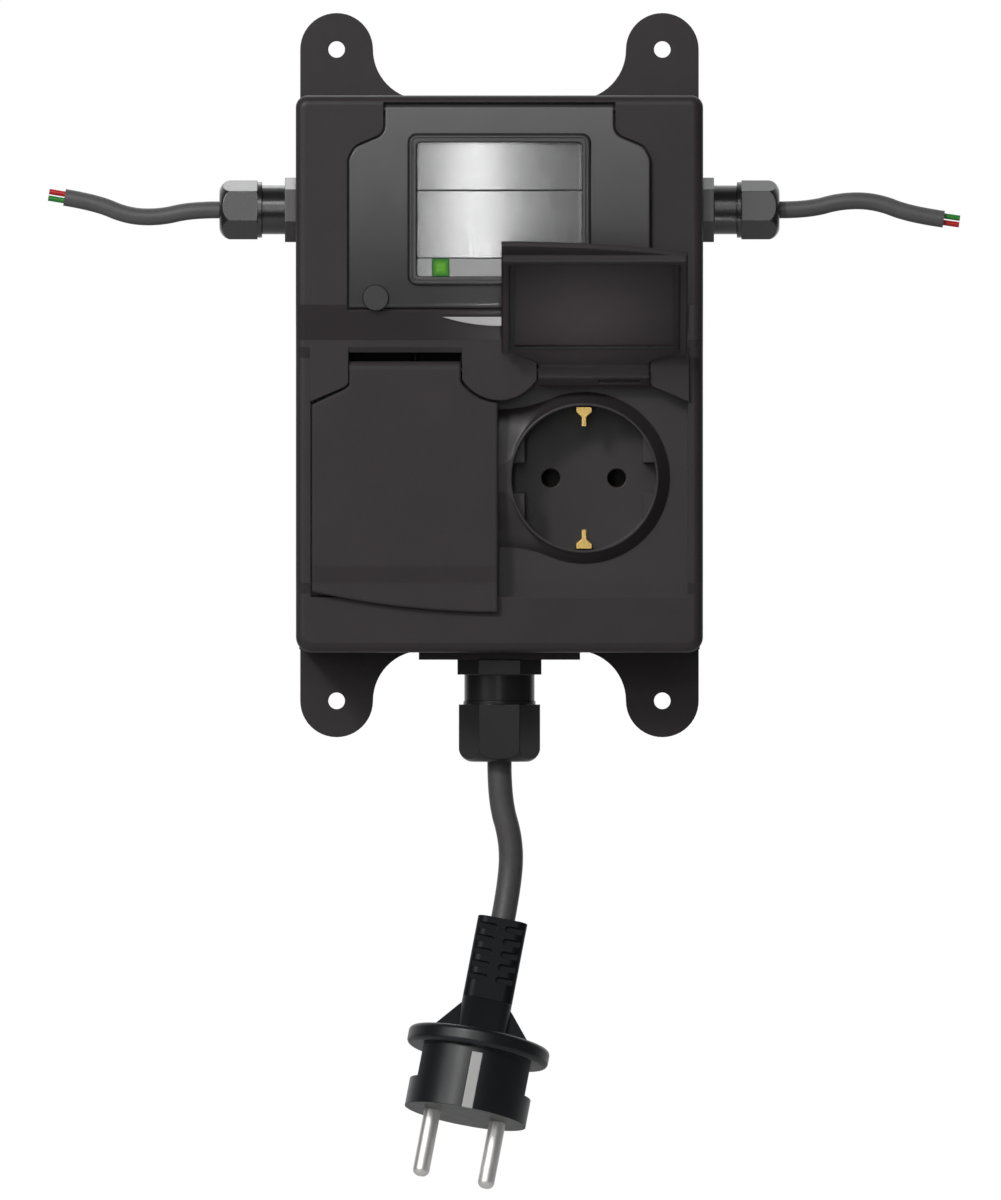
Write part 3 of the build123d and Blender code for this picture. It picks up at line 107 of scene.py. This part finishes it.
# Colours, linear
WARM_DARK = (0.036, 0.029, 0.031)
LID_DARK = (0.045, 0.038, 0.040)
SOCKET_DARK = (0.037, 0.032, 0.034)
MID_GREY = (0.040, 0.037, 0.038)
CAP_GREY = (0.034, 0.032, 0.033)
LIGHT_GREY = (0.48, 0.47, 0.47)
SHELL_GREY = (0.10, 0.10, 0.10)
RUBBER_BLACK = (0.018, 0.018, 0.018)
GLAND_DARK = (0.012, 0.011, 0.012)
LOWER_GLAND_DARK = (0.008, 0.007, 0.008)
PLUG_BLACK = (0.005, 0.006, 0.008)
CORD_GREY = (0.078, 0.074, 0.074)
# painted light: the cord sheath's grey made lighter for the two leads
LEAD_GREY_PAINTED_LIGHT = (0.105, 0.103, 0.103)
WIRE_DARK = (0.03, 0.03, 0.035)
WIRE_RED = (0.55, 0.012, 0.012)
WIRE_GREEN = (0.02, 0.25, 0.03)
PANE_TINT = (0.12, 0.12, 0.12)
LAMP_CORE = (0.10, 0.36, 0.008)
LAMP_EDGE = (0.008, 0.15, 0.008)
FACE_SILVER = (0.66, 0.66, 0.66)
STRIP_SILVER = (0.50, 0.50, 0.50)
# painted shade: dark colour painted into the groove across the silver face
GROOVE_PAINTED_SHADE = (0.16, 0.16, 0.16)
BRASS = (0.72, 0.50, 0.16)
# brass of the socket contacts, darkened as painted shade deep in the pin holes
BRASS_IN_PAINTED_SHADE = (0.09, 0.07, 0.04)
NICKEL = (0.88, 0.87, 0.84)
DULL_NICKEL = (0.42, 0.42, 0.41)
STEEL = (0.06, 0.06, 0.063)
PAPER_LOW = (0.86, 0.86, 0.86)
PAPER_HIGH = (0.9, 0.9, 0.9)
PAPER_BOUNCE = (0.25, 0.25, 0.25)  # what the paper shows to diffuse rays
WHITE = (1.0, 1.0, 1.0)
COOL_WHITE = (0.98, 0.99, 1.0)

# Strengths of the surround and of the floor's glow
SOFT_LOW = 0.02
SOFT_HIGH = 0.28
GLOSS_LOW = 0.08
GLOSS_HIGH = 1.0
FLOOR_GLOW = 0.42

# Directions towards which the surround gets brighter
ABOVE = (-0.1, -0.4, 0.91)
BEHIND = (0.0, 0.94, 0.34)

# Places that the lamps point at
BOX_MIDDLE = (0.0, -40 * MM, 0.0)
LEFT_SIDE = (-72 * MM, -40 * MM, 0.0)
OPEN_LID = (24 * MM, -75 * MM, 12 * MM)
LEFT_GLAND = (-68 * MM, GLAND_Y, LEAD_Z)
PLUG_MIDDLE = (0.0, -30 * MM, -190 * MM)

# Sockets of a Mix node: its two values and its result
MIX_SOCKETS = {"RGBA": (6, 7, 2), "FLOAT": (2, 3, 0)}


# Node trees
class Tree:
    """Short way to build a node tree."""

    def __init__(self, tree):
        self.tree = tree
        tree.nodes.clear()

    def add(self, kind, **values):
        node = self.tree.nodes.new(kind)
        for key, value in values.items():
            setattr(node, key, value)
        return node

    def link(self, source, target):
        self.tree.links.new(source, target)

    def feed(self, value, socket):
        """Link another node's output, or set a number or a colour."""
        if isinstance(value, bpy.types.NodeSocket):
            self.link(value, socket)
        elif isinstance(value, tuple):
            socket.default_value = (*value, 1.0)
        else:
            socket.default_value = value

    def math(self, operation, *values):
        node = self.add("ShaderNodeMath", operation=operation)
        for value, socket in zip(values, node.inputs):
            self.feed(value, socket)
        return node.outputs[0]

    def ramp(self, source, low, high, start=0.3, end=0.7):
        """From low to high while the source goes from start to end."""
        node = self.add("ShaderNodeMapRange")
        self.link(source, node.inputs["Value"])
        for name, value in (("From Min", start), ("From Max", end), ("To Min", low), ("To Max", high)):
            node.inputs[name].default_value = value
        return node.outputs["Result"]

    def blend(self, factor, first, second, kind="RGBA"):
        """From the first colour to the second, or between numbers where the kind is FLOAT."""
        node = self.add("ShaderNodeMix", data_type=kind)
        self.link(factor, node.inputs["Factor"])
        first_socket, second_socket, result = MIX_SOCKETS[kind]
        self.feed(first, node.inputs[first_socket])
        self.feed(second, node.inputs[second_socket])
        return node.outputs[result]


class Surface(Tree):
    """Node tree of a material with one principled shader."""

    def __init__(self, name):
        self.material = bpy.data.materials.new(name)
        self.material.use_nodes = True
        super().__init__(self.material.node_tree)
        output = self.add("ShaderNodeOutputMaterial")
        self.shader = self.add("ShaderNodeBsdfPrincipled")
        self.link(self.shader.outputs["BSDF"], output.inputs["Surface"])
        self.place = self.add("ShaderNodeTexCoord").outputs["Object"]

    def along(self, axis):
        """One coordinate of the place."""
        node = self.add("ShaderNodeSeparateXYZ")
        self.link(self.place, node.inputs["Vector"])
        return node.outputs[axis]

    def noise(self, scale, detail=2.0, rough=0.55, stretch=None):
        node = self.add("ShaderNodeTexNoise")
        node.inputs["Scale"].default_value = scale
        node.inputs["Detail"].default_value = detail
        node.inputs["Roughness"].default_value = rough
        place = self.place
        if stretch:
            mapping = self.add("ShaderNodeMapping")
            mapping.inputs["Scale"].default_value = stretch
            self.link(place, mapping.inputs["Vector"])
            place = mapping.outputs["Vector"]
        self.link(place, node.inputs["Vector"])
        return node.outputs["Fac"]

    def mottle(self, source, colour, low, high):
        """A colour that is uneven in tone, between two shares of its brightness."""
        return self.blend(self.ramp(source, 0.0, 1.0), shade(colour, low), shade(colour, high))

    def bump(self, source, depth, normal=None):
        node = self.add("ShaderNodeBump")
        node.inputs["Distance"].default_value = depth
        node.inputs["Strength"].default_value = 1.0
        self.link(source, node.inputs["Height"])
        if normal:
            self.link(normal, node.inputs["Normal"])
        return node.outputs["Normal"]

    def soft_edges(self, radius):
        node = self.add("ShaderNodeBevel", samples=6)
        node.inputs["Radius"].default_value = radius
        return node.outputs["Normal"]

    def finish(self, values):
        """Give the shader its textures and constants, and return the material."""
        for name, value in values.items():
            self.feed(value, self.shader.inputs[name])
        return self.material


def shade(colour, factor):
    """The same colour, lighter or darker."""
    return tuple(min(1.0, channel * factor) for channel in colour)


def new_object(name, data):
    """A new object, in the scene."""
    made = bpy.data.objects.new(name, data)
    bpy.context.scene.collection.objects.link(made)
    return made


# Finishes
def moulded_plastic(
    name, colour, roughness=0.42, grain=0.012 * MM, edge=0.35 * MM, gloss=0.45, coat=0.0,
):
    """Moulded plastic with fine grain, faint flow marks, uneven polish and soft edges."""
    surface = Surface(name)
    flow = surface.noise(scale=55.0)
    fine = surface.noise(scale=2600.0, rough=0.6)
    smear = surface.noise(scale=160.0, detail=4.0, stretch=(1.0, 1.0, 0.35))
    tone = surface.mottle(flow, colour, low=0.93, high=1.07)
    return surface.finish({
        "Base Color": surface.blend(surface.ramp(fine, 0.0, 0.35), tone, shade(colour, 1.25)),
        "Roughness": surface.ramp(smear, roughness * 0.93, roughness * 1.08),
        "Normal": surface.bump(fine, grain, surface.soft_edges(edge)),
        "Specular IOR Level": gloss,
        "Coat Weight": coat,
        "Coat Roughness": 0.18,
    })


def metal(name, colour, roughness, stretch, grain=0.0001 * MM, groove=None):
    """Metal with fine lines, long where the stretch is small, and painted shade darkening a groove if
    one is given.
    """
    surface = Surface(name)
    lines = surface.noise(scale=2200.0, stretch=stretch)
    cloud = surface.noise(scale=70.0)
    tone = surface.mottle(cloud, colour, low=0.96, high=1.03)
    polish = surface.ramp(lines, roughness - 0.015, roughness + 0.02)
    if groove:
        # painted shade: the groove's band is coloured dark and made rougher
        groove_shade_mask = surface.math("COMPARE", surface.along("Z"), *groove)
        tone = surface.blend(groove_shade_mask, tone, GROOVE_PAINTED_SHADE)
        polish = surface.blend(groove_shade_mask, polish, GROOVE_ROUGHNESS, kind="FLOAT")
    return surface.finish({
        "Base Color": tone,
        "Roughness": polish,
        "Normal": surface.bump(lines, grain, surface.soft_edges(METAL_EDGE)),
        "Metallic": 1.0,
    })


def sheath(name, colour, roughness=0.45):
    """Extruded sheath, uneven in tone and a little dusty."""
    surface = Surface(name)
    dust = surface.noise(scale=700.0, detail=4.0)
    bands = surface.noise(scale=90.0)
    tone = surface.mottle(bands, colour, low=0.92, high=1.1)
    return surface.finish({
        "Base Color": surface.blend(surface.ramp(dust, 0.0, 0.3), tone, shade(colour, 1.35)),
        "Roughness": surface.ramp(dust, roughness - 0.06, roughness + 0.1),
        "Normal": surface.bump(dust, FAINT_RELIEF),
    })


def clear_plastic(name, colour, alpha):
    """Thin clear cover, mostly see-through, with a faint tint and moulding waves."""
    surface = Surface(name)
    waves = surface.noise(scale=60.0)
    return surface.finish({
        "Base Color": surface.mottle(waves, colour, low=0.97, high=1.0),
        "Roughness": surface.ramp(waves, 0.05, 0.12),
        "Normal": surface.bump(waves, FAINT_RELIEF, surface.soft_edges(CLEAR_EDGE)),
        "Alpha": alpha,
        "IOR": 1.49,
    })


def lamp_lens(name, edge_colour, core_colour):
    """Green lens of the status lamp, brightest in its middle."""
    low, high = (Vector(corner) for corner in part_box("status_lamp"))
    centre = (low + high) / 2
    half = (high - low) / 2
    surface = Surface(name)
    off_centre = []
    for axis, middle, half_side in (("X", centre.x, half.x), ("Z", centre.z, half.z)):
        shift = surface.math("SUBTRACT", surface.along(axis), middle)
        share = surface.math("DIVIDE", shift, half_side)
        off_centre.append(surface.math("ABSOLUTE", share))
    rim = surface.ramp(surface.math("MAXIMUM", *off_centre), 0.0, 1.0, start=0.35, end=0.95)
    colour = surface.blend(rim, core_colour, edge_colour)
    cells = surface.noise(scale=1500.0, detail=1.0)
    return surface.finish({
        "Base Color": colour,
        "Emission Color": colour,
        "Emission Strength": 0.4,
        "Specular IOR Level": 0.2,
        "Roughness": surface.ramp(cells, 0.2, 0.34),
        "Normal": surface.bump(cells, FAINT_RELIEF, surface.soft_edges(CLEAR_EDGE)),
    })


def slot_finishes():
    """One material for each slot of the record."""
    finishes = {
        "housing": moulded_plastic("housing_plastic", WARM_DARK, gloss=0.35),
        "lid_plastic": moulded_plastic(
            "lid_plastic", LID_DARK, roughness=0.55, edge=1.2 * MM, gloss=0.25,
        ),
        "upper_lid_plastic": moulded_plastic(
            "upper_lid_plastic", MID_GREY, roughness=0.34, edge=0.6 * MM, gloss=0.9,
        ),
        "light_trim": moulded_plastic("light_trim", LIGHT_GREY, roughness=0.35),
        "socket_plastic": moulded_plastic("socket_plastic", SOCKET_DARK, roughness=0.38, edge=0.5 * MM),
        "seal_rubber": moulded_plastic("seal_rubber", RUBBER_BLACK, roughness=0.6),
        "gland_plastic": moulded_plastic(
            "gland_plastic", GLAND_DARK, roughness=0.26, grain=0.001 * MM, edge=0.4 * MM,
            gloss=0.9, coat=0.25,
        ),
        "plug_plastic": moulded_plastic(
            "plug_plastic", PLUG_BLACK, roughness=0.36, edge=0.25 * MM, gloss=0.5,
        ),
        "device_shell": moulded_plastic("device_shell", SHELL_GREY),
        "clear_pane": clear_plastic("clear_pane", PANE_TINT, alpha=0.08),
        "lamp": lamp_lens("lamp_lens", LAMP_EDGE, LAMP_CORE),
        "silver_face": metal(
            "silver_face", FACE_SILVER, roughness=0.22, stretch=(1.0, 1.0, 0.05),
            grain=0.00002 * MM, groove=(GROOVE_Z, GROOVE_HALF_HEIGHT),
        ),
        "brass_parts": metal("brass_parts", BRASS, roughness=0.25, stretch=(1.0, 0.2, 1.0)),
        "nickel_parts": metal("nickel_parts", NICKEL, roughness=0.45, stretch=(1.0, 1.0, 0.15)),
        "steel_parts": metal("steel_parts", STEEL, roughness=0.55, stretch=(0.2, 1.0, 1.0)),
        "cord_sheath": sheath("cord_sheath", CORD_GREY),
    }
    for slot, colour in (
        ("red_insulation", WIRE_RED),
        ("green_insulation", WIRE_GREEN),
        ("wire_insulation", WIRE_DARK),
    ):
        finishes[slot] = sheath(slot, colour, roughness=0.3)
    return finishes


def node_finishes():
    """Materials of the nodes that look different from their slot."""
    # painted light: the leads get a lighter copy of the cord sheath
    lead = sheath("lead_sheath_painted_light", LEAD_GREY_PAINTED_LIGHT)
    # painted shade: the contacts' brass is darkened for the shade inside the pin holes
    contacts = metal("contact_metal_painted_shade", BRASS_IN_PAINTED_SHADE, roughness=0.5, stretch=(1.0, 1.0, 0.3))
    lower_gland = moulded_plastic(
        "lower_gland_plastic", LOWER_GLAND_DARK, roughness=0.32, grain=0.001 * MM, edge=0.4 * MM,
        gloss=0.5,
    )
    return {
        "left_lead": lead,
        "right_lead": lead,
        "left_pin_contacts": contacts,
        "right_pin_contacts": contacts,
        "bottom_gland_body": lower_gland,
        "bottom_gland_cap": lower_gland,
        "indicator_strip": metal(
            "strip_face", STRIP_SILVER, roughness=0.34, stretch=(0.05, 1.0, 1.0), grain=0.00002 * MM,
        ),
        "window_frame": moulded_plastic(
            "frame_plastic", MID_GREY, roughness=0.32, grain=0.0005 * MM, edge=0.25 * MM, gloss=0.9,
        ),
        "plug_boot": moulded_plastic("boot_plastic", PLUG_BLACK, edge=0.25 * MM, gloss=0.16),
        "plug_earth_strips": metal(
            "strip_metal", DULL_NICKEL, roughness=0.45, stretch=(1.0, 1.0, 0.15),
        ),
        "lid_screw_caps": moulded_plastic("cap_plastic", CAP_GREY, roughness=0.4, gloss=0.6),
    }


def dress_nodes():
    """Put each CAD node's material on it and return the materials by node."""
    by_slot = slot_finishes()
    slots = {part["node"]: part["material_slot"] for part in frame["record"]["subparts"]}
    by_node = {node: by_slot[slot] for node, slot in slots.items()}
    by_node.update(node_finishes())
    for name, piece in frame["nodes"].items():
        piece.data.materials.clear()
        piece.data.materials.append(by_node[name])
    return by_node


# Cords
def mains_route():
    """Down from the gland with a slack bend, then along the plug's axis into its boot."""
    plug_axis = Vector((
        -sin(PLUG_LEAN) * cos(PLUG_TILT),
        -sin(PLUG_TILT),
        -cos(PLUG_LEAN) * cos(PLUG_TILT),
    ))
    route = [Vector((x * MM, GLAND_Y, MAINS_START_Z - drop * MM)) for x, drop in MAINS_BENDS]
    route.append(route[-1] + plug_axis * BOOT_REACH)
    return route


def lead_route(start_x, bends):
    """Out from a side gland through its bends, at the depth of the glands."""
    start = Vector((start_x, GLAND_Y, LEAD_Z))
    return [start] + [Vector((x * MM, GLAND_Y, z * MM)) for x, z in bends]


def cord_line(name, points, diameter, material):
    """Smooth round line through control points, closed at both ends."""
    curve = bpy.data.curves.new(name, "CURVE")
    curve.dimensions = "3D"
    spline = curve.splines.new("NURBS")
    spline.points.add(len(points) - 1)
    for target, point in zip(spline.points, points):
        target.co = (*point, 1.0)
    spline.order_u = 3
    spline.use_endpoint_u = True
    curve.resolution_u = 24
    curve.bevel_depth = diameter / 2
    curve.bevel_resolution = 8
    curve.use_fill_caps = True
    curve.materials.append(material)
    return new_object(name, curve)


def add_cords(finishes):
    """The mains cord and the two leads, each in place of its CAD solid."""
    cords = (
        (
            "mains_cord", mains_route(), MAINS_DIAMETER, MAINS_LENGTH, "plug",
            ("plug_boot", "plug_body", "plug_pins", "plug_earth_strips"),
        ),
        (
            "left_lead", lead_route(LEFT_START_X, LEFT_BENDS), LEAD_DIAMETER, LEFT_LENGTH, "bare",
            ("left_red_core", "left_green_core"),
        ),
        (
            "right_lead", lead_route(RIGHT_START_X, RIGHT_BENDS), LEAD_DIAMETER, RIGHT_LENGTH, "bare",
            ("right_red_core", "right_green_core"),
        ),
    )
    for node, route, diameter, length, far_end, end_names in cords:
        piece = cord_line(node + "_line", route, diameter, finishes[node])
        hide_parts(node)
        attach(piece, "box")


# Camera, lamps, surround and floor
def add_camera():
    """Long lens straight in front, framed as the photograph."""
    view_height = PHOTO_HEIGHT_PX / PX_PER_MM * MM
    distance = LENS / SENSOR * view_height
    data = bpy.data.cameras.new("camera")
    data.lens = LENS
    data.sensor_width = SENSOR
    data.clip_end = CLIP_END
    camera = new_object("camera", data)
    camera.location = VIEW_CENTRE - Vector((0, distance, 0))
    camera.rotation_euler = (pi / 2, 0, 0)
    bpy.context.scene.camera = camera


def area_light(name, azimuth, elevation, distance, size, power, aim=BOX_MIDDLE, spread=180):
    """Softbox in the direction azimuth, right positive, and elevation from the place it points at."""
    centre = Vector(aim)
    turn = radians(azimuth)
    rise = radians(elevation)
    data = bpy.data.lights.new(name, "AREA")
    data.shape = "RECTANGLE"
    data.size, data.size_y = size
    data.energy = power
    data.spread = radians(spread)
    light = new_object(name, data)
    outward = Vector((sin(turn) * cos(rise), -cos(turn) * cos(rise), sin(rise)))
    light.location = centre + distance * outward
    light.rotation_euler = (centre - light.location).to_track_quat("-Z", "Y").to_euler()
    light.visible_camera = False


def add_lamps():
    """Key from the upper left, a strip and a wide box near the lens, and weak ones for single places."""
    area_light("key", azimuth=-28, elevation=26, distance=2.0, size=(0.3, 0.3), power=13.2)
    area_light("strip", azimuth=-2.9, elevation=3, distance=1.3, size=(0.06, 0.4), power=0.5)
    area_light("front", azimuth=-11, elevation=21, distance=1.6, size=(1.2, 0.7), power=3.2)
    area_light(
        "top", azimuth=180, elevation=45, distance=0.8, size=(0.14, 0.3), power=0.25, aim=LEFT_SIDE,
    )
    area_light(
        "low", azimuth=0, elevation=-45, distance=0.33, size=(0.03, 0.03), power=0.004,
        aim=OPEN_LID, spread=12,
    )
    area_light(
        "gland", azimuth=0, elevation=33, distance=1.2, size=(0.12, 0.2), power=0.8, aim=LEFT_GLAND,
    )
    area_light(
        "left", azimuth=-50, elevation=20, distance=1.2, size=(0.35, 0.35), power=1.5, aim=PLUG_MIDDLE,
    )


def surround(tree, direction, start, end, low, high):
    """Light that grows from low to high towards a direction."""
    nearness = tree.add("ShaderNodeVectorMath", operation="DOT_PRODUCT")
    nearness.inputs[1].default_value = direction
    tree.link(tree.add("ShaderNodeTexCoord").outputs["Generated"], nearness.inputs[0])
    light = tree.add("ShaderNodeBackground")
    tree.feed(COOL_WHITE, light.inputs["Color"])
    tree.link(tree.ramp(nearness.outputs["Value"], low, high, start, end), light.inputs["Strength"])
    return light.outputs[0]


def add_world():
    """White to the camera and through clear pieces, white from behind in reflections, soft elsewhere."""
    world = bpy.data.worlds.new("surround")
    bpy.context.scene.world = world
    world.use_nodes = True
    tree = Tree(world.node_tree)
    rays = tree.add("ShaderNodeLightPath").outputs
    white = tree.add("ShaderNodeBackground")
    tree.feed(WHITE, white.inputs["Color"])
    shown = surround(tree, ABOVE, start=-0.5, end=1.0, low=SOFT_LOW, high=SOFT_HIGH)
    reflected = surround(tree, BEHIND, start=0.35, end=0.95, low=GLOSS_LOW, high=GLOSS_HIGH)
    for ray, seen in (
        ("Is Glossy Ray", reflected),
        ("Is Transmission Ray", white.outputs[0]),
        ("Is Camera Ray", white.outputs[0]),
    ):
        choice = tree.add("ShaderNodeMixShader")
        tree.link(rays[ray], choice.inputs["Fac"])
        tree.link(shown, choice.inputs[1])
        tree.link(seen, choice.inputs[2])
        shown = choice.outputs[0]
    tree.link(shown, tree.add("ShaderNodeOutputWorld").inputs["Surface"])


def floor_paper():
    """Pale paper that looks nearly white but throws little light back up."""
    surface = Surface("floor_paper")
    cloud = surface.noise(scale=40.0, detail=3.0)
    paper = surface.blend(surface.ramp(cloud, 0.0, 1.0), PAPER_LOW, PAPER_HIGH)
    rays = surface.add("ShaderNodeLightPath").outputs
    seen = surface.math("MAXIMUM", rays["Is Camera Ray"], rays["Is Transmission Ray"])
    return surface.finish({
        "Base Color": surface.blend(rays["Is Diffuse Ray"], paper, PAPER_BOUNCE),
        "Emission Color": WHITE,
        "Emission Strength": surface.ramp(seen, 0.0, FLOOR_GLOW, start=0.0, end=1.0),
        "Roughness": 0.8,
    })


def add_floor():
    """Plain pale floor below the hanging plug."""
    height = cad_box[0][2] - FLOOR_DROP
    corners = ((-1, -1), (1, -1), (1, 1), (-1, 1))
    mesh = bpy.data.meshes.new("floor")
    mesh.from_pydata([(x * FLOOR_HALF, y * FLOOR_HALF, height) for x, y in corners], [], [(0, 1, 2, 3)])
    mesh.materials.append(floor_paper())
    floor = new_object("floor", mesh)


add_camera()
bpy.context.scene.view_settings.view_transform = "Standard"
add_cords(dress_nodes())
add_lamps()
add_world()
add_floor()
